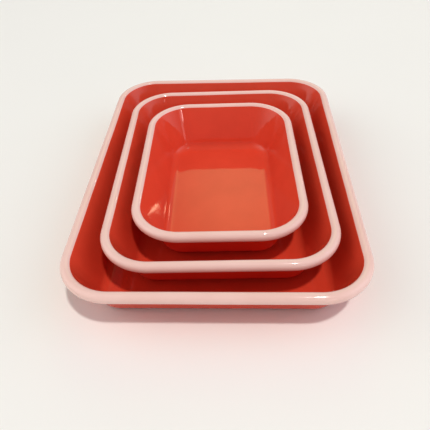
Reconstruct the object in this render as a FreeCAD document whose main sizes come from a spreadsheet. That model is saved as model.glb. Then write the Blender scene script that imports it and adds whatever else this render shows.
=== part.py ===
import FreeCAD, Part

# Three enamelled steel trays, one nested in the next. Every tray has flared walls, round corners and a
# rolled rim. A tray is a steel pressing whose edge is curled outwards into a hollow roll, under three
# fused glass coats: red inside, red outside and pink over the roll. All trays share one wall section.
# A body is a quarter of its tray, made from that section, and two mirrors. Millimetres, +Z up, with the
# origin under the middle of the largest tray, on the surface that it stands on.

import os

import Sketcher
from FreeCAD import Placement, Rotation, Vector
from math import atan2, cos, degrees, radians, sin

SIZES = {
    # outside size of each tray over its roll
    "large_length": 330.0,
    "large_width": 238.0,
    "medium_length": 270.0,
    "medium_width": 193.0,
    "small_length": 210.0,
    "small_width": 150.0,
    # section shared by all trays
    "tray_depth": 45.0,
    "corner_radius": 43.0,
    "wall_lean": 22.0,
    "floor_bend": 8.0,
    "steel_gauge": 0.8,
    "enamel_skin": 0.25,
    "roll_radius": 4.25,
    "roll_flat": 0.6,
    # degrees round the roll from its innermost point: up to the colour change, down to the curl's end
    "colour_change": 35.0,
    "curl_stop": 24.0,
    # how the two loose trays lie, seen from above
    "medium_shift": 0.8,
    "small_shift": 0.5,
    "forward_shift": -1.3,
    "loose_turn": 1.3,
}

# Cells worked out from the sizes. x runs outwards from a corner's upright axis, z up from the underside.
DERIVED = {
    "wall": "steel_gauge + 2 * enamel_skin",
    "roll_x": "corner_radius - roll_radius",
    "roll_z": "tray_depth - roll_radius",
    "low_roll_z": "roll_z - roll_flat",
    "bend_z": "wall + floor_bend",
    "bend_x": "roll_x - (roll_radius + floor_bend + sin(wall_lean) * (roll_z - bend_z)) / cos(wall_lean)",
    # radii of the layers' faces round the floor bend and round the roll
    "bend_steel_in": "floor_bend + enamel_skin",
    "bend_steel_out": "bend_steel_in + steel_gauge",
    "bend_outside": "floor_bend + wall",
    "roll_steel_out": "roll_radius - enamel_skin",
    "roll_steel_in": "roll_steel_out - steel_gauge",
    # ends of the coats and of the curl on the roll
    "change_out_z": "roll_z + roll_radius * sin(colour_change)",
    "change_in_z": "roll_z + roll_steel_out * sin(colour_change)",
    "curl_out_z": "low_roll_z - roll_steel_out * sin(curl_stop)",
    "curl_in_z": "low_roll_z - roll_steel_in * sin(curl_stop)",
    "curl_in_x": "roll_x - roll_steel_in * cos(curl_stop)",
    # where the pink coat bridges from the curl's end to the wall, square to the wall
    "bridge": "roll_steel_in + roll_flat * sin(wall_lean) - roll_steel_in * cos(wall_lean + curl_stop)",
    "bridge_x": "curl_in_x - bridge * cos(wall_lean)",
    "bridge_z": "curl_in_z + bridge * sin(wall_lean)",
    # where the pink coat and the outside red coat meet, in the groove under the roll
    "seam_off": "roll_radius - wall + roll_flat * sin(wall_lean)",
    "seam_down": "sqrt(roll_radius * roll_radius - seam_off * seam_off)",
    "seam_x": "roll_x - seam_off * cos(wall_lean) - seam_down * sin(wall_lean)",
    "seam_z": "low_roll_z + seam_off * sin(wall_lean) - seam_down * cos(wall_lean)",
    "seam_in_x": "seam_x - enamel_skin * cos(wall_lean)",
    "seam_in_z": "seam_z + enamel_skin * sin(wall_lean)",
    # height of the pressing's floor, where the inside coat lies
    "steel_floor_top": "enamel_skin + steel_gauge",
    # straight half sides between the corner axes
    "large_run_x": "large_width / 2 - corner_radius",
    "large_run_y": "large_length / 2 - corner_radius",
    "medium_run_x": "medium_width / 2 - corner_radius",
    "medium_run_y": "medium_length / 2 - corner_radius",
    "small_run_x": "small_width / 2 - corner_radius",
    "small_run_y": "small_length / 2 - corner_radius",
    # how high the loose trays stand, each on the floor of the one below
    "medium_rise": "wall",
    "small_rise": "2 * wall",
}

ROLL, LOW_ROLL, BEND = ("roll_x", "roll_z"), ("roll_x", "low_roll_z"), ("bend_x", "bend_z")
START, END, CENTRE = 1, 2, 3
ORIGIN = (-1, 1)
UPRIGHT_AXIS = -2


def make_sheet(doc):
    """The spreadsheet that holds every size and the cells worked out from them."""
    sheet = doc.addObject("Spreadsheet::Sheet", "Sizes")
    cells = [(alias, str(value)) for alias, value in SIZES.items()]
    cells += [(alias, "=" + formula) for alias, formula in DERIVED.items()]
    for row, (alias, content) in enumerate(cells, start=1):
        sheet.set(f"A{row}", alias)
        sheet.set(f"B{row}", content)
        sheet.setAlias(f"B{row}", alias)
    doc.recompute()
    return sheet


def cell(name):
    """The value of a cell of the sheet."""
    return float(getattr(FreeCAD.ActiveDocument.getObject("Sizes"), name))


def origin_plane(body, role):
    """The XY, XZ or YZ plane of a body's own origin."""
    return next(feature for feature in body.Origin.OriginFeatures if feature.Role == role)


class Outline:
    """One closed loop of lines and arcs in a sketch, drawn end to end and driven by the sheet's cells."""

    def __init__(self, sketch):
        self.sketch = sketch
        self.items = []

    def constrain(self, kind, *where):
        self.sketch.addConstraint(Sketcher.Constraint(kind, *where))

    def drive(self, kind, *where, name):
        """A dimension that a cell drives."""
        index = self.sketch.addConstraint(Sketcher.Constraint(kind, *where, cell(name)))
        self.sketch.setExpression(f"Constraints[{index}]", f"Sizes.{name}")

    def add(self, shape, entry, leave, smooth):
        """Adds one item; entry and leave are its ends in the loop's direction."""
        item = self.sketch.addGeometry(shape)
        if self.items:
            last, _, last_leave = self.items[-1]
            kind = "Tangent" if smooth else "Coincident"
            self.constrain(kind, last, last_leave, item, entry)
        self.items.append((item, entry, leave))
        return item

    def line(self, start, end, smooth=False):
        shape = Part.LineSegment(Vector(*start), Vector(*end))
        return self.add(shape, START, END, smooth)

    def arc(self, centre, radius, first, last, smooth=False):
        """An arc between two angles in degrees; it runs clockwise where last is below first."""
        middle = Vector(cell(centre[0]), cell(centre[1]))
        circle = Part.Circle(middle, Vector(0, 0, 1), cell(radius))
        low, high = sorted((radians(first), radians(last)))
        ends = (END, START) if last < first else (START, END)
        item = self.add(Part.ArcOfCircle(circle, low, high), *ends, smooth)
        self.drive("DistanceX", *ORIGIN, item, CENTRE, name=centre[0])
        self.drive("DistanceY", *ORIGIN, item, CENTRE, name=centre[1])
        self.drive("Radius", item, name=radius)
        return item

    def pin(self, x=None, z=None, entry=False):
        """Pins the last item's far end, or its near end, at a cell's x, a cell's z or both."""
        item, near, far = self.items[-1]
        end = near if entry else far
        if x:
            self.drive("DistanceX", *ORIGIN, item, end, name=x)
        if z:
            self.drive("DistanceY", *ORIGIN, item, end, name=z)

    def floor_out(self, z):
        """A floor line from the upright axis out to the floor bend."""
        item = self.line((0, z), (cell("bend_x"), z))
        self.constrain("Horizontal", item)
        self.constrain("PointOnObject", item, START, UPRIGHT_AXIS)

    def floor_in(self, z):
        """A floor line from the floor bend in to the upright axis."""
        item = self.line((cell("bend_x"), z), (0, z), smooth=True)
        self.constrain("Horizontal", item)
        self.constrain("PointOnObject", item, END, UPRIGHT_AXIS)

    def close(self):
        """Joins the last item to the first one."""
        (first, entry, _), (last, _, leave) = self.items[0], self.items[-1]
        self.constrain("Coincident", last, leave, first, entry)

    def close_on_axis(self):
        """Closes the loop with a line down the upright axis."""
        (first, _, _), (last, _, leave) = self.items[0], self.items[-1]
        start = self.sketch.getPoint(last, leave)
        end = self.sketch.getPoint(first, START)
        self.line((start.x, start.y), (end.x, end.y))
        self.close()


def around(centre, radius, angle):
    """The point at that angle round a centre; all but the angle are cells."""
    turn = radians(angle)
    return (cell(centre[0]) + cell(radius) * cos(turn), cell(centre[1]) + cell(radius) * sin(turn))


def angle_to(centre, x, z):
    """The angle, in degrees, from a centre to the point at two cells."""
    return degrees(atan2(cell(z) - cell(centre[1]), cell(x) - cell(centre[0])))


def wall_up(outline, bend_radius, roll_radius):
    """A floor bend and the straight wall above it, up to the roll."""
    lean = cell("wall_lean")
    outline.arc(BEND, bend_radius, -90, -lean, smooth=True)
    outline.line(around(BEND, bend_radius, -lean), around(ROLL, roll_radius, 180 - lean), smooth=True)


def wall_down(outline, bend_radius, roll_radius):
    """The straight wall from the roll down, and the floor bend below it."""
    lean = cell("wall_lean")
    outline.line(around(ROLL, roll_radius, 180 - lean), around(BEND, bend_radius, -lean), smooth=True)
    outline.arc(BEND, bend_radius, -lean, -90, smooth=True)


def steel_section(outline):
    """The pressing: floor, bend, wall and the hollow curl that ends just short of the wall."""
    lean, stop = 180 - cell("wall_lean"), cell("curl_stop") - 180
    outline.floor_out(cell("enamel_skin"))
    wall_up(outline, "bend_steel_out", "roll_steel_in")
    outline.arc(ROLL, "roll_steel_in", lean, 0, smooth=True)
    outline.line(around(ROLL, "roll_steel_in", 0), around(LOW_ROLL, "roll_steel_in", 0), smooth=True)
    outline.arc(LOW_ROLL, "roll_steel_in", 0, stop, smooth=True)
    outline.pin(z="curl_in_z")
    outline.line(around(LOW_ROLL, "roll_steel_in", stop), around(LOW_ROLL, "roll_steel_out", stop))
    outline.arc(LOW_ROLL, "roll_steel_out", stop, 0)
    outline.pin(z="curl_out_z", entry=True)
    outline.line(around(LOW_ROLL, "roll_steel_out", 0), around(ROLL, "roll_steel_out", 0), smooth=True)
    outline.arc(ROLL, "roll_steel_out", 0, lean, smooth=True)
    wall_down(outline, "bend_steel_in", "roll_steel_out")
    outline.floor_in(cell("steel_floor_top"))
    outline.close_on_axis()


def inside_section(outline):
    """The red coat on the pressing's inside, up to the colour change on the roll."""
    lean, change = 180 - cell("wall_lean"), 180 - cell("colour_change")
    outline.floor_out(cell("steel_floor_top"))
    wall_up(outline, "bend_steel_in", "roll_steel_out")
    outline.arc(ROLL, "roll_steel_out", lean, change, smooth=True)
    outline.pin(z="change_in_z")
    outline.line(around(ROLL, "roll_steel_out", change), around(ROLL, "roll_radius", change))
    outline.arc(ROLL, "roll_radius", change, lean)
    outline.pin(z="change_out_z", entry=True)
    wall_down(outline, "floor_bend", "roll_radius")
    outline.floor_in(cell("wall"))
    outline.close_on_axis()


def outside_section(outline):
    """The red coat on the pressing's outside, up to the seam in the groove under the roll."""
    lean = cell("wall_lean")
    seam = (cell("seam_x"), cell("seam_z"))
    seam_in = (cell("seam_in_x"), cell("seam_in_z"))
    outline.floor_out(0)
    outline.arc(BEND, "bend_outside", -90, -lean, smooth=True)
    outline.line(around(BEND, "bend_outside", -lean), seam, smooth=True)
    outline.pin(x="seam_x", z="seam_z")
    outline.line(seam, seam_in)
    outline.line(seam_in, around(BEND, "bend_steel_out", -lean))
    outline.pin(x="seam_in_x", z="seam_in_z", entry=True)
    outline.arc(BEND, "bend_steel_out", -lean, -90, smooth=True)
    outline.floor_in(cell("enamel_skin"))
    outline.close_on_axis()


def rim_section(outline):
    """The pink coat over the roll, which also bridges from the curl's end to the wall."""
    change, stop = 180 - cell("colour_change"), cell("curl_stop") - 180
    curl_in = around(LOW_ROLL, "roll_steel_in", stop)
    bridge = (cell("bridge_x"), cell("bridge_z"))
    seam_in = (cell("seam_in_x"), cell("seam_in_z"))
    seam = (cell("seam_x"), cell("seam_z"))
    outline.arc(ROLL, "roll_steel_out", change, 0)
    outline.pin(z="change_in_z", entry=True)
    outline.line(around(ROLL, "roll_steel_out", 0), around(LOW_ROLL, "roll_steel_out", 0), smooth=True)
    outline.arc(LOW_ROLL, "roll_steel_out", 0, stop, smooth=True)
    outline.pin(z="curl_out_z")
    outline.line(around(LOW_ROLL, "roll_steel_out", stop), curl_in)
    outline.pin(x="curl_in_x", z="curl_in_z")
    outline.line(curl_in, bridge)
    outline.pin(x="bridge_x", z="bridge_z")
    outline.line(bridge, seam_in)
    outline.pin(x="seam_in_x", z="seam_in_z")
    outline.line(seam_in, seam)
    outline.arc(LOW_ROLL, "roll_radius", angle_to(LOW_ROLL, "seam_x", "seam_z"), 0)
    outline.pin(z="seam_z", entry=True)
    outline.line(around(LOW_ROLL, "roll_radius", 0), around(ROLL, "roll_radius", 0), smooth=True)
    outline.arc(ROLL, "roll_radius", 0, change, smooth=True)
    outline.pin(z="change_out_z")
    outline.line(around(ROLL, "roll_radius", change), around(ROLL, "roll_steel_out", change))
    outline.close()


# each layer: node name ending, section, and the cells of its floor's height range
LAYERS = (
    ("steel_pressing", steel_section, ("enamel_skin", "steel_gauge")),
    ("inner_enamel", inside_section, ("steel_floor_top", "enamel_skin")),
    ("outer_enamel", outside_section, (None, "enamel_skin")),
    ("rim_enamel", rim_section, None),
)


def section_sketch(body, name, role, section, run_x, run_y):
    """The section in an upright plane through the corner's axis, facing out along X or along Y."""
    sketch = body.newObject("Sketcher::SketchObject", name)
    sketch.AttachmentSupport = [(origin_plane(body, role), "")]
    sketch.MapMode = "FlatFace"
    if role == "XZ_Plane":
        sketch.setExpression("AttachmentOffset.Base.x", f"Sizes.{run_x}")
        sketch.setExpression("AttachmentOffset.Base.z", f"-Sizes.{run_y}")
    else:
        sketch.setExpression("AttachmentOffset.Base.x", f"Sizes.{run_y}")
        sketch.setExpression("AttachmentOffset.Base.z", f"Sizes.{run_x}")
    section(Outline(sketch))
    FreeCAD.ActiveDocument.recompute()
    return sketch


def add_corner(body, sketch):
    """A quarter turn of the section round the corner's axis."""
    corner = body.newObject("PartDesign::Revolution", f"{body.Name}_corner")
    corner.Profile = sketch
    corner.ReferenceAxis = (sketch, ["V_Axis"])
    corner.Angle = 90
    corner.Refine = True


def add_side(body, sketch, name, run, reverse):
    """Half of a straight side: the section pushed from the corner's axis to the middle of the tray."""
    side = body.newObject("PartDesign::Pad", name)
    side.Profile = sketch
    side.setExpression("Length", f"Sizes.{run}")
    side.Reversed = reverse
    side.Refine = True


def add_floor(body, run_x, run_y, bottom, thickness):
    """A quarter of the flat floor between the four corner axes."""
    sketch = body.newObject("Sketcher::SketchObject", f"{body.Name}_floor_sketch")
    sketch.AttachmentSupport = [(origin_plane(body, "XY_Plane"), "")]
    sketch.MapMode = "FlatFace"
    if bottom:
        sketch.setExpression("AttachmentOffset.Base.z", f"Sizes.{bottom}")
    corners = [(0, 0), (cell(run_x), 0), (cell(run_x), cell(run_y)), (0, cell(run_y))]
    outline = Outline(sketch)
    for number, corner in enumerate(corners):
        item = outline.line(corner, corners[(number + 1) % 4])
        outline.constrain("Horizontal" if number % 2 == 0 else "Vertical", item)
    outline.close()
    outline.constrain("Coincident", outline.items[0][0], START, *ORIGIN)
    outline.drive("DistanceX", *ORIGIN, outline.items[1][0], END, name=run_x)
    outline.drive("DistanceY", *ORIGIN, outline.items[1][0], END, name=run_y)
    floor = body.newObject("PartDesign::Pad", f"{body.Name}_floor")
    floor.Profile = sketch
    floor.setExpression("Length", f"Sizes.{thickness}")
    floor.Refine = True


def add_mirror(body, role, name):
    """Mirrors all there is of the body in one of its upright origin planes."""
    mirror = body.newObject("PartDesign::Mirrored", name)
    mirror.TransformMode = "Whole shape"
    mirror.MirrorPlane = (origin_plane(body, role), [""])
    mirror.Refine = True
    body.Tip = mirror


def add_layer(doc, tray, layer, section, floor):
    """One layer of one tray, as its own body."""
    name = f"{tray}_tray_{layer}"
    run_x, run_y = f"{tray}_run_x", f"{tray}_run_y"
    body = doc.addObject("PartDesign::Body", name)
    body.Label = name
    facing_x = section_sketch(body, f"{name}_side_sketch", "XZ_Plane", section, run_x, run_y)
    facing_y = section_sketch(body, f"{name}_end_sketch", "YZ_Plane", section, run_x, run_y)
    add_corner(body, facing_x)
    add_side(body, facing_x, f"{name}_side", run_y, reverse=False)
    add_side(body, facing_y, f"{name}_end", run_x, reverse=True)
    if floor:
        add_floor(body, run_x, run_y, *floor)
    doc.recompute()
    add_mirror(body, "YZ_Plane", f"{name}_across")
    doc.recompute()
    add_mirror(body, "XZ_Plane", f"{name}_along")
    doc.recompute()
    place(body, tray)
    return body


def place(body, tray):
    """Stands a loose tray on the floor of the one below it, a little shifted and turned."""
    if tray == "large":
        return
    turn = Rotation(Vector(0, 0, 1), cell("loose_turn"))
    body.Placement = Placement(Vector(0, 0, 0), turn)
    body.setExpression("Placement.Base.x", f"Sizes.{tray}_shift")
    body.setExpression("Placement.Base.y", "Sizes.forward_shift")
    body.setExpression("Placement.Base.z", f"Sizes.{tray}_rise")
    body.setExpression("Placement.Rotation.Angle", "Sizes.loose_turn * 1 deg")


def check(doc):
    """Stops on any feature that failed to build."""
    for item in doc.Objects:
        if "Invalid" in item.State or "Error" in item.State:
            raise RuntimeError(f"{item.Label} did not build: {item.State}")


def export(body):
    """Writes one body to its own STEP file."""
    if body.Shape.isNull() or not body.Shape.isValid():
        raise RuntimeError(f"{body.Label} has no valid shape")
    body.Shape.exportStep(f"parts/{body.Label}.step")


def build():
    doc = FreeCAD.newDocument("nested_trays")
    make_sheet(doc)
    bodies = [
        add_layer(doc, tray, layer, section, floor)
        for tray in ("large", "medium", "small")
        for layer, section, floor in LAYERS
    ]
    doc.recompute()
    check(doc)
    os.makedirs("parts", exist_ok=True)
    for body in bodies:
        export(body)


build()
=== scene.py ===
"""Looks of a nest of three enamelled steel trays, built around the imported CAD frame.

Each enamel coat of the CAD is replaced by a finer closed mesh of the same section, with the slight waviness
of pressed sheet and fired glass. The steel pressings stay as they are, under the coats. Sections are in
millimetres until a mesh is made; everything in Blender is in metres.
"""
import math

import bmesh
import bpy
from mathutils import Matrix, Vector, noise


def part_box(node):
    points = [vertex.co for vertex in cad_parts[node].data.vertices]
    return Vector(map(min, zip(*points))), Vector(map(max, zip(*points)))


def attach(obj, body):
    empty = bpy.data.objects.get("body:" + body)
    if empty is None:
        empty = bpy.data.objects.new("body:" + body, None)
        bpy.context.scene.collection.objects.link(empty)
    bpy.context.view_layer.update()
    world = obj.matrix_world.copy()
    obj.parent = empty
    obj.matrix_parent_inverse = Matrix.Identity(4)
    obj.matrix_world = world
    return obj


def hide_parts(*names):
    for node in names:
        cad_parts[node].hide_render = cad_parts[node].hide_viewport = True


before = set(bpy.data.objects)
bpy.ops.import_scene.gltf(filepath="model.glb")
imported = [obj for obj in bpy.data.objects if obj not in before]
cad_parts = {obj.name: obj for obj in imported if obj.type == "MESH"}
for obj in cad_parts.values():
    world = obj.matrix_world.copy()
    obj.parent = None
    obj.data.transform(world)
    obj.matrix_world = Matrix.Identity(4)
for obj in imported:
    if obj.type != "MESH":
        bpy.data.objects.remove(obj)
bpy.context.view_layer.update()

MM = 0.001
TRAYS = ("large", "medium", "small")

# The wall section, as in the CAD: lengths in millimetres, angles in degrees
CORNER_RADIUS = 43.0
TRAY_DEPTH = 45.0
WALL_LEAN = 22.0
FLOOR_BEND = 8.0
SKIN = 0.25
STEEL = 0.8
WALL = STEEL + 2 * SKIN
ROLL = 4.25
ROLL_FLAT = 0.6
CURL_STOP = 24.0
LOOSE_TURN = math.radians(1.3)

LEAN_SIN, LEAN_COS = math.sin(math.radians(WALL_LEAN)), math.cos(math.radians(WALL_LEAN))
INWARD = (-LEAN_COS, LEAN_SIN)
ROLL_X = CORNER_RADIUS - ROLL
ROLL_TOP = (ROLL_X, TRAY_DEPTH - ROLL)
ROLL_LOW = (ROLL_X, TRAY_DEPTH - ROLL - ROLL_FLAT)
BEND_Z = WALL + FLOOR_BEND
BEND_X = ROLL_X - (ROLL + FLOOR_BEND + LEAN_SIN * (ROLL_TOP[1] - BEND_Z)) / LEAN_COS
BEND = (BEND_X, BEND_Z)

# How far the outside of the wall stands off the roll's lower axis
WALL_OFF = ROLL - WALL + ROLL_FLAT * LEAN_SIN

# The edges of the pink coat, which laps a little over the red ones: places round the roll, in degrees
COLOUR_CHANGE = 35.0
LINE_WAVE = 2.5
LAP_SLOPE = 3
TUCK = 7.0

# The lip's rounding: how deep it is sunk, in laps, at so many degrees past the edge, and where it ends
LIP = ((1.0, -0.4), (0.4, 0.0), (0.1, 0.7))
LIP_END = 1.8

# The lap's depth, the fillet of glass in the groove, and the step from it to the curl, in millimetres
LINE_WAVE_LENGTH = 24.0
LAP = 0.05
MENISCUS = 0.8
MENISCUS_WAVE = 0.15
BRIDGE = 0.5

# Mesh density: round the tray, over the floor, and along each stretch of the section
CORNER_STEPS = 60
STRAIGHT_STEP = 5.0
FLOOR_RINGS = 16
BEND_STEPS = 10
WALL_STEPS = 14
HIDDEN_STEPS = 6
LAP_STEPS = 3
TUCK_STEPS = 4
ROLL_TOP_STEPS = 22
ROLL_LOW_STEPS = 20
GROOVE_STEPS = 8
HIDDEN_TOP_STEPS = 14
HIDDEN_LOW_STEPS = 16

# Waviness of the fired sheet: how far it strays, over what length, and where it sets in or dies out
WALL_WAVE = 0.18
WALL_WAVE_LENGTH = 38.0
WALL_SETS_IN = (4, 16)
RIM_WAVE = 0.14
RIM_WAVE_LENGTH = 70.0
RIM_SETS_IN = (30, TRAY_DEPTH)
RIPPLE = 0.05
RIPPLE_LENGTH = 2.8
RIPPLE_RISE = 40.0
RIPPLE_DIES_OUT = (34, 40)
CORNER_SETS_IN = (0.0, 0.35)
FLOOR_DISH = 0.10
FLOOR_WAVE_LENGTH = 45.0
DISH_DIES_OUT = (0.3, 4.0)


def smooth(low, high, value):
    """0 below low, 1 above high, with an even S curve between."""
    share = min(max((value - low) / (high - low), 0.0), 1.0)
    return share * share * (3 - 2 * share)


def tray_shape(tray):
    """The straight half sides, middle, base height and turn of a tray, read from the frame."""
    low, high = (Vector(corner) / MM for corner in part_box(f"{tray}_tray_rim_enamel"))
    turn = 0.0 if tray == "large" else LOOSE_TURN
    across = (high.x - low.x) / 2 - CORNER_RADIUS
    along = (high.y - low.y) / 2 - CORNER_RADIUS
    cosine, sine = math.cos(turn), math.sin(turn)
    spread = cosine * cosine - sine * sine
    middle = (low + high) / 2
    middle.z = high.z - TRAY_DEPTH
    return {
        "run_x": (across * cosine - along * sine) / spread,
        "run_y": (along * cosine - across * sine) / spread,
        "place": Matrix.Translation(middle) @ Matrix.Rotation(turn, 4, "Z"),
        "seed": Vector((31.7, 12.9, 5.3)) * TRAYS.index(tray),
    }


def stations(shape):
    """Places round the tray: a point on the rectangle of corner axes and the outward direction there."""
    run_x, run_y = shape["run_x"], shape["run_y"]
    axes = [(run_x, run_y), (-run_x, run_y), (-run_x, -run_y), (run_x, -run_y)]
    places = []
    for number, axis in enumerate(axes):
        for step in range(CORNER_STEPS + 1):
            angle = math.radians(90) * (number + step / CORNER_STEPS)
            places.append((axis, (math.cos(angle), math.sin(angle))))
        following = axes[(number + 1) % 4]
        count = max(round(math.dist(axis, following) / STRAIGHT_STEP), 2)
        direction = places[-1][1]
        for step in range(1, count):
            point = tuple(a + (b - a) * step / count for a, b in zip(axis, following))
            places.append((point, direction))
    return places


def on_circle(centre, radius, degrees):
    """The point of the section that lies on a circle at an angle."""
    angle = math.radians(degrees)
    return (centre[0] + radius * math.cos(angle), centre[1] + radius * math.sin(angle))


def arc(centre, radius, first, last, count):
    """Points on an arc of the section between two angles in degrees, both ends included."""
    return [on_circle(centre, radius, first + (last - first) * step / count) for step in range(count + 1)]


def between(start, end, count):
    """Points that cut a line of the section into count equal steps, without its ends."""
    return [tuple(a + (b - a) * step / count for a, b in zip(start, end)) for step in range(1, count)]


def shown(points):
    """Marks points of the section as lying on the coat's outer surface, which is wavy."""
    return [(x, z, True) for x, z in points]


def hidden(points):
    """Marks points of the section as lying on the coat's inner side, against the steel."""
    return [(x, z, False) for x, z in points]


def bend_and_wall(depth, steps):
    """The floor bend and the wall up to the roll, of the surface that deep below the inside one."""
    bend = arc(BEND, FLOOR_BEND + depth, -90, -WALL_LEAN, BEND_STEPS)
    top = on_circle(ROLL_TOP, ROLL - depth, 180 - WALL_LEAN)
    return bend + between(bend[-1], top, steps)


def under_roll(off, reach):
    """The point in the groove at a reach from the roll's lower axis, and off it towards the inside."""
    down = math.sqrt(reach**2 - off**2)
    return (
        ROLL_LOW[0] + INWARD[0] * off - LEAN_SIN * down,
        ROLL_LOW[1] + INWARD[1] * off - LEAN_COS * down,
    )


def seam_points():
    """Where the outside red coat ends in the groove under the roll: on its surface and on the steel."""
    surface = under_roll(WALL_OFF, ROLL)
    steel = (surface[0] + INWARD[0] * SKIN, surface[1] + INWARD[1] * SKIN)
    return surface, steel


def inside_section(line, _meniscus):
    """The red inside coat: its surface up to the pink coat's edge, then its hidden side back down."""
    lean, edge = 180 - WALL_LEAN, 180 - line
    points = shown(bend_and_wall(0, WALL_STEPS))
    points += shown(arc(ROLL_TOP, ROLL, lean, edge + LAP_SLOPE, HIDDEN_STEPS))
    points += shown(arc(ROLL_TOP, ROLL - LAP, edge, edge - TUCK, LAP_STEPS))
    points += hidden(arc(ROLL_TOP, ROLL - SKIN, edge - TUCK, lean, TUCK_STEPS))
    points += hidden(reversed(bend_and_wall(SKIN, HIDDEN_STEPS)))
    return points


def outside_section(_line, _meniscus):
    """The red outside coat: its surface up to the seam under the roll, then its hidden side back down."""
    seam, seam_on_steel = seam_points()
    bend = arc(BEND, FLOOR_BEND + WALL, -90, -WALL_LEAN, BEND_STEPS)
    steel_bend = arc(BEND, FLOOR_BEND + SKIN + STEEL, -90, -WALL_LEAN, HIDDEN_STEPS)
    points = shown(bend + between(bend[-1], seam, WALL_STEPS) + [seam])
    points += hidden([seam_on_steel] + between(seam_on_steel, steel_bend[-1], HIDDEN_STEPS))
    points += hidden(reversed(steel_bend))
    return points


def rim_section(line, meniscus):
    """The pink coat: lip, over the roll, groove and lower lip, then its hidden side back to the start."""
    edge, stop = 180 - line, CURL_STOP - 180
    groove = under_roll(WALL_OFF - LAP - meniscus, ROLL + meniscus)
    meet = math.degrees(math.atan2(groove[1] - ROLL_LOW[1], groove[0] - ROLL_LOW[0]))
    lip = [on_circle(ROLL_TOP, ROLL - sunk * LAP, edge - past) for sunk, past in LIP]
    points = shown(lip + arc(ROLL_TOP, ROLL, edge - LIP_END, 0, ROLL_TOP_STEPS))
    points += shown(arc(ROLL_LOW, ROLL, 0, meet, ROLL_LOW_STEPS))
    points += shown(arc(groove, meniscus, meet + 180, 180 - WALL_LEAN, GROOVE_STEPS)[1:])
    # The lower lip ends a little further down, sunk one lap into the red coat
    foot = (points[-1][0] - 0.4 * LEAN_SIN * LAP, points[-1][1] - 3 * LAP)
    foot = (foot[0] + INWARD[0] * LAP, foot[1] + INWARD[1] * LAP)
    seam, seam_on_steel = seam_points()
    bridge = (seam_on_steel[0] + BRIDGE * LEAN_SIN, seam_on_steel[1] + BRIDGE * LEAN_COS)
    curl_in = on_circle(ROLL_LOW, ROLL - SKIN - STEEL, stop)
    points += shown([foot])
    points += hidden([seam, seam_on_steel, bridge, curl_in])
    points += hidden(arc(ROLL_LOW, ROLL - SKIN, stop, 0, HIDDEN_LOW_STEPS))
    points += hidden(arc(ROLL_TOP, ROLL - SKIN, 0, edge - TUCK, HIDDEN_TOP_STEPS))
    points += hidden(arc(ROLL_TOP, ROLL - 1.4 * LAP, edge - TUCK, edge, LAP_STEPS))
    return points


def waviness(point, outward, seed):
    """How far a shown point strays: walls inwards, with ripples at the drawn corners, and rims down."""
    wall = smooth(*WALL_SETS_IN, point.z)
    push = wall * WALL_WAVE * (noise.noise(point / WALL_WAVE_LENGTH + seed) - 1) / 2
    corner = smooth(*CORNER_SETS_IN, abs(outward[0] * outward[1]))
    drawn = wall * (1 - smooth(*RIPPLE_DIES_OUT, point.z)) * corner
    along = Vector((point.x / RIPPLE_LENGTH, point.y / RIPPLE_LENGTH, point.z / RIPPLE_RISE))
    push += drawn * RIPPLE * noise.noise(along + seed)
    flat = Vector((point.x, point.y, 0))
    rim = smooth(*RIM_SETS_IN, point.z)
    sag = rim * RIM_WAVE * (noise.noise(flat / RIM_WAVE_LENGTH + seed) - 1) / 2
    return Vector((outward[0] * push, outward[1] * push, sag))


def dish(point, level, side, seed):
    """The floor's unevenness: always into the wall's thickness, and none above the floor bend."""
    share = 1 - smooth(*DISH_DIES_OUT, abs(point.z - level))
    flat = Vector((point.x, point.y, level))
    return side * FLOOR_DISH * share * (0.5 + 0.5 * noise.noise(flat / FLOOR_WAVE_LENGTH + seed))


def ring_of(places, section_at, index, shape, floor):
    """One ring of points round the tray, made of the same point of every station's section."""
    seed = shape["seed"]
    ring = []
    for (axis, outward), section in zip(places, section_at):
        x, z, is_shown = section[index]
        point = Vector((axis[0] + outward[0] * x, axis[1] + outward[1] * x, z))
        if is_shown:
            stray = waviness(point, outward, seed)
            if floor:
                stray.z += dish(point, floor[0], floor[1], seed)
            point += stray
        ring.append(point)
    return ring


def floor_rings(places, level, shape, floor, is_shown):
    """Rings that shrink from the floor bend to the middle of the floor."""
    seed = shape["seed"]
    rings = []
    for step in range(1, FLOOR_RINGS):
        scale = 1 - step / FLOOR_RINGS
        ring = []
        for axis, outward in places:
            point = Vector((axis[0] + outward[0] * BEND_X, axis[1] + outward[1] * BEND_X, 0)) * scale
            point.z = level
            if is_shown:
                point.z += dish(point, level, floor[1], seed)
            ring.append(point)
        rings.append(ring)
    middle = Vector((0, 0, level))
    if is_shown:
        middle.z += dish(middle, level, floor[1], seed)
    return rings, middle


def build_mesh(name, rings, poles, shape):
    """A closed mesh from rings of points, closed by two poles or, with none, back on itself."""
    place = Matrix.Scale(MM, 4) @ shape["place"]
    count = len(rings[0])
    vertices = [place @ point for ring in rings for point in ring]
    faces = []
    bands = len(rings) - 1 if poles else len(rings)
    for row in range(bands):
        near = row * count
        far = (row + 1) % len(rings) * count
        for step in range(count):
            after = (step + 1) % count
            faces.append((near + step, near + after, far + after, far + step))
    for row, pole in zip((0, len(rings) - 1), poles):
        vertices.append(place @ pole)
        for step in range(count):
            faces.append((row * count + step, row * count + (step + 1) % count, len(vertices) - 1))
    mesh = bpy.data.meshes.new(name)
    mesh.from_pydata(vertices, [], faces)
    work = bmesh.new()
    work.from_mesh(mesh)
    bmesh.ops.recalc_face_normals(work, faces=work.faces)
    work.to_mesh(mesh)
    work.free()
    mesh.shade_smooth()
    piece = bpy.data.objects.new(name, mesh)
    bpy.context.scene.collection.objects.link(piece)
    return piece


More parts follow.
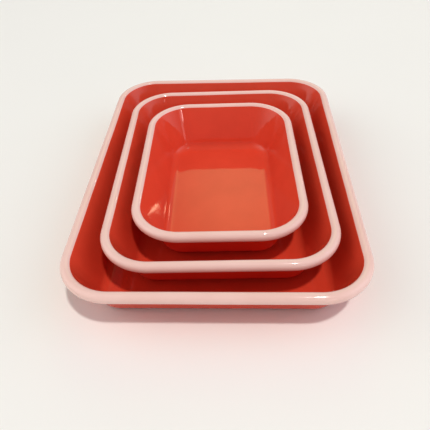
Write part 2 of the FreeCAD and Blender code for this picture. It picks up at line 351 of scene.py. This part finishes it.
def coat(name, shape, section, floor):
    """One enamel coat of a tray as a closed piece; floor is its level and the dish's direction, or None."""
    places = stations(shape)
    sections = []
    for axis, outward in places:
        spot = Vector((axis[0] + outward[0] * ROLL_X, axis[1] + outward[1] * ROLL_X, 0))
        stray = noise.noise(spot / LINE_WAVE_LENGTH + shape["seed"])
        sections.append(section(COLOUR_CHANGE + LINE_WAVE * stray, MENISCUS + MENISCUS_WAVE * stray))
    rings = [ring_of(places, sections, index, shape, floor) for index in range(len(sections[0]))]
    poles = ()
    if floor:
        back_level = floor[0] + floor[1] * SKIN
        front, first_pole = floor_rings(places, floor[0], shape, floor, True)
        back, last_pole = floor_rings(places, back_level, shape, floor, False)
        rings = front[::-1] + rings + back
        poles = (first_pole, last_pole)
    return build_mesh(name, rings, poles, shape)


# The enamel's features, each a count per metre, and how much they show. Pinholes: cells per metre, the
# radius of a hole in cells, and the share of cells that have one.
CLOUDS = 28
MOTTLE = 420
MOTTLE_SHARE = 0.12
GLOSS = 60
PEEL = 520
PEEL_HEIGHT = 0.000012
SWELL = 110
SWELL_SHARE = 1.5
PINHOLES = (70, 0.016, 0.3)
ENAMEL_IOR = 1.52

# Colours, as linear red, green and blue, and roughness
RED, RED_DEEP, RED_SPECK = (0.77, 0.094, 0.050), (0.72, 0.086, 0.045), (0.12, 0.02, 0.012)
PINK, PINK_DEEP, PINK_SPECK = (0.86, 0.595, 0.54), (0.83, 0.555, 0.495), (0.35, 0.16, 0.13)
STEEL_DARK, STEEL_PALE = (0.25, 0.25, 0.26), (0.42, 0.42, 0.43)
TABLE_DARK, TABLE_PALE = (0.872, 0.855, 0.826), (0.892, 0.875, 0.846)
RED_ROUGH, PINK_ROUGH, STEEL_ROUGH = (0.03, 0.07), (0.05, 0.10), (0.38, 0.55)
TABLE_ROUGH = 0.55
TABLE_SPECULAR = 0.3

# Streaks of the steel and clouds of the table, per metre
STEEL_STREAKS = 180
TABLE_CLOUDS = 5


def new_material(name):
    """A new node material, with its tree and its shader."""
    material = bpy.data.materials.new(name)
    material.use_nodes = True
    tree = material.node_tree
    shader = tree.nodes["Principled BSDF"]
    return material, tree, shader


def object_noise(tree, scale, detail):
    """A noise texture in the object's own coordinates, with features of about 1/scale metres."""
    where = tree.nodes.new("ShaderNodeTexCoord")
    texture = tree.nodes.new("ShaderNodeTexNoise")
    texture.inputs["Scale"].default_value = scale
    texture.inputs["Detail"].default_value = detail
    tree.links.new(where.outputs["Object"], texture.inputs["Vector"])
    return texture


def remap(tree, source, low, high, out_low, out_high):
    """Maps a value's range onto another."""
    node = tree.nodes.new("ShaderNodeMapRange")
    node.inputs["From Min"].default_value = low
    node.inputs["From Max"].default_value = high
    node.inputs["To Min"].default_value = out_low
    node.inputs["To Max"].default_value = out_high
    tree.links.new(source, node.inputs["Value"])
    return node.outputs["Result"]


def blend_colour(tree, factor, first, second):
    """Mixes two colours, each a tuple or a socket, by a factor."""
    node = tree.nodes.new("ShaderNodeMix")
    node.data_type = "RGBA"
    tree.links.new(factor, node.inputs["Factor"])
    # A mix of colours has its two colours in sockets 6 and 7, and its result in socket 2
    for socket, colour in ((node.inputs[6], first), (node.inputs[7], second)):
        if isinstance(colour, tuple):
            socket.default_value = (*colour, 1)
        else:
            tree.links.new(colour, socket)
    return node.outputs[2]


def specks(tree, scale, size, share):
    """A mask of sparse round specks, such as the pinholes of fired enamel."""
    where = tree.nodes.new("ShaderNodeTexCoord")
    cells = tree.nodes.new("ShaderNodeTexVoronoi")
    cells.inputs["Scale"].default_value = scale
    tree.links.new(where.outputs["Object"], cells.inputs["Vector"])
    near = remap(tree, cells.outputs["Distance"], size * 0.6, size, 1, 0)
    pick = tree.nodes.new("ShaderNodeSeparateColor")
    tree.links.new(cells.outputs["Color"], pick.inputs["Color"])
    chosen = remap(tree, pick.outputs["Red"], 1 - share, 1 - share + 0.01, 0, 1)
    both = tree.nodes.new("ShaderNodeMath")
    both.operation = "MULTIPLY"
    tree.links.new(near, both.inputs[0])
    tree.links.new(chosen, both.inputs[1])
    return both.outputs[0]


def enamel_colour(tree, colour, deep, speck):
    """The colour of fired glass: clouds, a fine mottle and sparse specks."""
    clouds = object_noise(tree, CLOUDS, detail=3)
    mottle = object_noise(tree, MOTTLE, detail=2)
    tone = remap(tree, clouds.outputs["Fac"], 0.35, 0.65, 0, 1)
    body = blend_colour(tree, tone, deep, colour)
    fine = remap(tree, mottle.outputs["Fac"], 0.3, 0.7, 0, MOTTLE_SHARE)
    body = blend_colour(tree, fine, body, deep)
    return blend_colour(tree, specks(tree, *PINHOLES), body, speck)


def enamel_bump(tree):
    """The relief of fired glass: orange peel over a slower ripple."""
    peel = object_noise(tree, PEEL, detail=1.5)
    swell = object_noise(tree, SWELL, detail=1)
    total = tree.nodes.new("ShaderNodeMath")
    total.operation = "MULTIPLY_ADD"
    total.inputs[1].default_value = SWELL_SHARE
    tree.links.new(swell.outputs["Fac"], total.inputs[0])
    tree.links.new(peel.outputs["Fac"], total.inputs[2])
    bump = tree.nodes.new("ShaderNodeBump")
    bump.inputs["Strength"].default_value = 1.0
    bump.inputs["Distance"].default_value = PEEL_HEIGHT
    tree.links.new(total.outputs[0], bump.inputs["Height"])
    return bump.outputs["Normal"]


def enamel_material(name, colour, deep, speck, rough):
    """Fired glass: clouded colour, sparse specks, orange peel and slightly uneven gloss."""
    material, tree, shader = new_material(name)
    tree.links.new(enamel_colour(tree, colour, deep, speck), shader.inputs["Base Color"])
    gloss = object_noise(tree, GLOSS, detail=3)
    tree.links.new(remap(tree, gloss.outputs["Fac"], 0.3, 0.7, *rough), shader.inputs["Roughness"])
    shader.inputs["IOR"].default_value = ENAMEL_IOR
    tree.links.new(enamel_bump(tree), shader.inputs["Normal"])
    return material


def steel_material():
    """Pickled mild steel, dull grey with faint rolling streaks."""
    material, tree, shader = new_material("pickled_steel")
    streaks = object_noise(tree, STEEL_STREAKS, detail=4)
    streaks.inputs["Distortion"].default_value = 0.4
    tone = remap(tree, streaks.outputs["Fac"], 0.3, 0.7, 0, 1)
    colour = blend_colour(tree, tone, STEEL_DARK, STEEL_PALE)
    tree.links.new(colour, shader.inputs["Base Color"])
    rough = remap(tree, streaks.outputs["Fac"], 0.3, 0.7, *STEEL_ROUGH)
    tree.links.new(rough, shader.inputs["Roughness"])
    shader.inputs["Metallic"].default_value = 1.0
    return material


def floor_material():
    """The plain pale table top, with the faintest unevenness of tone."""
    material, tree, shader = new_material("pale_table")
    clouds = object_noise(tree, TABLE_CLOUDS, detail=2)
    colour = blend_colour(tree, clouds.outputs["Fac"], TABLE_DARK, TABLE_PALE)
    tree.links.new(colour, shader.inputs["Base Color"])
    shader.inputs["Roughness"].default_value = TABLE_ROUGH
    shader.inputs["Specular IOR Level"].default_value = TABLE_SPECULAR
    return material


def build_trays():
    """The three coats of each tray, and the steel under them."""
    red = enamel_material("red_enamel", RED, RED_DEEP, RED_SPECK, RED_ROUGH)
    pink = enamel_material("pink_enamel", PINK, PINK_DEEP, PINK_SPECK, PINK_ROUGH)
    steel = steel_material()
    coats = (
        ("inside", "inner", inside_section, (WALL, -1), red, "red_enamel"),
        ("outside", "outer", outside_section, (0.0, 1), red, "red_enamel"),
        ("rim", "rim", rim_section, None, pink, "pink_enamel"),
    )
    for tray in TRAYS:
        shape = tray_shape(tray)
        for side, node, section, floor, material, slot in coats:
            piece = coat(f"{tray}_{side}_coat", shape, section, floor)
            piece.data.materials.append(material)
            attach(piece, f"{tray}_tray")
            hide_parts(f"{tray}_tray_{node}_enamel")
        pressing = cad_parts[f"{tray}_tray_steel_pressing"]
        pressing.data.materials.clear()
        pressing.data.materials.append(steel)


# The table top's half side and its height, in metres
TABLE_HALF = 12.0
TABLE_LEVEL = -0.0002


def build_floor():
    """The table top, a hair under the largest tray so that the two surfaces don't coincide."""
    signs = ((-1, -1), (1, -1), (1, 1), (-1, 1))
    corners = [(across * TABLE_HALF, along * TABLE_HALF, TABLE_LEVEL) for across, along in signs]
    mesh = bpy.data.meshes.new("table_top")
    mesh.from_pydata(corners, [], [(0, 1, 2, 3)])
    mesh.materials.append(floor_material())
    floor = bpy.data.objects.new("table_top", mesh)
    bpy.context.scene.collection.objects.link(floor)


# Lamps: direction from the trays, distance, width and height in metres, and radiance in red, green, blue
LAMPS = {
    "key_lamp": ((0.19, -0.28, 0.94), 40.0, (2.5, 2.5), (390.0, 380.0, 362.0)),
    "front_lamp": ((0.45, -0.85, 0.27), 2.0, (0.12, 0.12), (9.0, 7.5, 7.5)),
    "front_window": ((0.53, -0.83, 0.20), 2.0, (0.30, 0.40), (1.3, 1.2, 1.2)),
    "ceiling_lamp": ((0.65, 0.11, 0.74), 2.0, (0.14, 0.14), (2.2, 1.6, 3.0)),
    "back_lamp": ((0.53, 0.74, 0.35), 2.0, (0.05, 0.05), (26.0, 21.0, 14.0)),
}

# The room's radiance: an even part, and soft patches, each with a direction, a sharpness and a radiance.
# The dark corner takes light away from the patches round it, and the sum stays above zero.
ROOM = (0.12, 0.12, 0.12)
PATCHES = {
    "upper_back": ((0.0, 0.75, 0.66), 50, (0.70, 1.05, 0.45)),
    "dark_corner": ((-0.23, 0.62, 0.75), 60, (-0.25, -0.25, -0.15)),
    "back": ((0.15, 0.97, 0.10), 7, (0.50, 0.50, 0.50)),
    "left": ((-0.88, -0.10, 0.46), 5, (1.45, 1.45, 1.42)),
    "right": ((0.90, -0.10, 0.42), 5, (1.15, 1.15, 1.28)),
    "front": ((-0.10, -0.99, 0.10), 7, (0.12, 0.12, 0.12)),
}


def add_lamp(name, towards, distance, size, radiance):
    """An oval of light in a direction from the trays, facing them."""
    width, height = size
    brightest = max(radiance)
    light = bpy.data.lights.new(name, "AREA")
    light.shape = "ELLIPSE"
    light.size = width
    light.size_y = height
    area = math.pi * width * height / 4
    light.energy = brightest * math.pi * area
    light.color = [part / brightest for part in radiance]
    lamp = bpy.data.objects.new(name, light)
    direction = Vector(towards).normalized()
    lamp.location = direction * distance
    lamp.rotation_euler = direction.to_track_quat("Z", "Y").to_euler()
    bpy.context.scene.collection.objects.link(lamp)


def add_patch(tree, around, so_far, towards, sharpness, radiance):
    """Adds a soft patch to the room's radiance so far, a tuple or a socket."""
    facing = tree.nodes.new("ShaderNodeVectorMath")
    facing.operation = "DOT_PRODUCT"
    facing.inputs[1].default_value = Vector(towards).normalized()
    tree.links.new(around, facing.inputs[0])
    ahead = tree.nodes.new("ShaderNodeMath")
    ahead.operation = "MAXIMUM"
    ahead.inputs[1].default_value = 0.0
    tree.links.new(facing.outputs["Value"], ahead.inputs[0])
    fade = tree.nodes.new("ShaderNodeMath")
    fade.operation = "POWER"
    fade.inputs[1].default_value = sharpness
    tree.links.new(ahead.outputs[0], fade.inputs[0])
    light = tree.nodes.new("ShaderNodeVectorMath")
    light.operation = "MULTIPLY_ADD"
    light.inputs[1].default_value = radiance
    tree.links.new(fade.outputs[0], light.inputs[0])
    if isinstance(so_far, tuple):
        light.inputs[2].default_value = so_far
    else:
        tree.links.new(so_far, light.inputs[2])
    return light.outputs["Vector"]


def build_room():
    """The pale room around, brighter or darker in soft patches."""
    world = bpy.data.worlds.new("pale_room")
    world.use_nodes = True
    tree = world.node_tree
    around = tree.nodes.new("ShaderNodeTexCoord").outputs["Generated"]
    light = ROOM
    for towards, sharpness, radiance in PATCHES.values():
        light = add_patch(tree, around, light, towards, sharpness, radiance)
    tree.links.new(light, tree.nodes["Background"].inputs["Color"])
    bpy.context.scene.world = world


def build_light():
    """The lamps, the room and the picture's contrast."""
    for name, (towards, distance, size, radiance) in LAMPS.items():
        add_lamp(name, towards, distance, size, radiance)
    build_room()
    bpy.context.scene.view_settings.view_transform = "Standard"
    bpy.context.scene.view_settings.look = "Medium High Contrast"


# The camera's place in metres, its angles in radians and its lens in millimetres
CAMERA_PLACE = Vector((16.8, -370.5, 310.4)) * MM
CAMERA_YAW, CAMERA_PITCH, CAMERA_ROLL = -0.062, -0.737, -0.046
CAMERA_LENS = 40.1


def build_camera():
    """The camera, from its place, its heading, its pitch and its roll."""
    flat = math.cos(CAMERA_PITCH)
    ahead = Vector((math.sin(CAMERA_YAW) * flat, math.cos(CAMERA_YAW) * flat, math.sin(CAMERA_PITCH)))
    level = Vector((math.cos(CAMERA_YAW), -math.sin(CAMERA_YAW), 0))
    upright = level.cross(ahead)
    right = level * math.cos(CAMERA_ROLL) + upright * math.sin(CAMERA_ROLL)
    up = upright * math.cos(CAMERA_ROLL) - level * math.sin(CAMERA_ROLL)
    lens = bpy.data.cameras.new("camera")
    lens.lens = CAMERA_LENS
    lens.clip_start = 0.01
    camera = bpy.data.objects.new("camera", lens)
    axes = Matrix((right, up, -ahead)).transposed().to_4x4()
    camera.matrix_world = Matrix.Translation(CAMERA_PLACE) @ axes
    bpy.context.scene.collection.objects.link(camera)
    bpy.context.scene.camera = camera


build_trays()
build_floor()
build_light()
build_camera()
